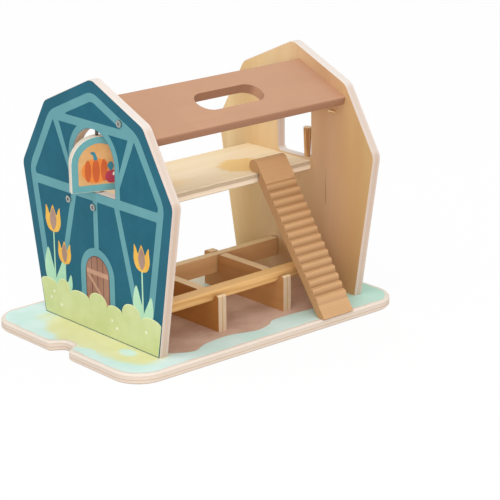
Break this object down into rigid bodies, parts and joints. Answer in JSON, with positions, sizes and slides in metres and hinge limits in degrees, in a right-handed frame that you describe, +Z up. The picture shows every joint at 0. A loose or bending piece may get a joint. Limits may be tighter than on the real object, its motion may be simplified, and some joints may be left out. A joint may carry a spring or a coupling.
{
  "type": "toy barn",
  "caption": "Wooden toy barn: two gable walls on a base plate, roof board with carrying slot, loft, hooked ramp, stalls and a turning arched shutter.",
  "frame": {"origin": "underside of the base plate, midway between the gable walls and under the ridge", "axes": "+X from the shutter wall to the other wall, -Y is the front with the ramp, +Z up"},
  "size_m": [0.3291, 0.229, 0.2487],
  "materials": {
    "base_print": "printed plywood, satin varnish, bare ply edge",
    "wall_paint": "printed outside, clear-varnished ply inside, bare ply edge",
    "roof_stain": "satin stained plywood",
    "clear_ply": "clear-varnished plywood",
    "stall_stain": "brown stained plywood",
    "honey_pine": "clear-varnished pine",
    "ramp_stain": "tan stained solid wood",
    "shutter_print": "printed plywood, bare ply edge",
    "post_stain": "brown stained turned wood",
    "beech": "raw beech dowel",
    "steel": "plated steel",
    "brass": "brass-plated wire"
  },
  "bodies": {
    "barn": {"base_plate": "base_print", "left_gable_wall": "wall_paint", "right_gable_wall": "wall_paint", "roof_board": "roof_stain", "loft_floor": "clear_ply", "stall_divider_left": "stall_stain", "stall_divider_right": "stall_stain", "stall_back_plank": "stall_stain", "shutter_upper_pin": "steel", "shutter_lower_pin": "steel", "shutter_spacer": "steel", "window_post": "post_stain", "wall_hook": "brass", "roof_screws": "steel", "roof_dowels": "beech", "loft_screws": "steel", "wall_screws": "steel"},
    "shutter": {"arched_shutter": "shutter_print"},
    "ramp": {"ramp": "ramp_stain"},
    "rail": {"stall_front_rail": "honey_pine"}
  },
  "joints": [
    {"name": "shutter_turn", "type": "hinge", "parent": "barn", "child": "shutter", "pos_m": [-0.1225, 0, 0.17], "axis": [0, 0, 1], "continuous": true},
    {"name": "ramp_lift", "type": "slide", "parent": "barn", "child": "ramp", "axis": [0, 0, 1], "range_m": [0, 0.04]},
    {"name": "rail_lift", "type": "slide", "parent": "barn", "child": "rail", "axis": [0, 0, 1], "range_m": [0, 0.015]}
  ]
}
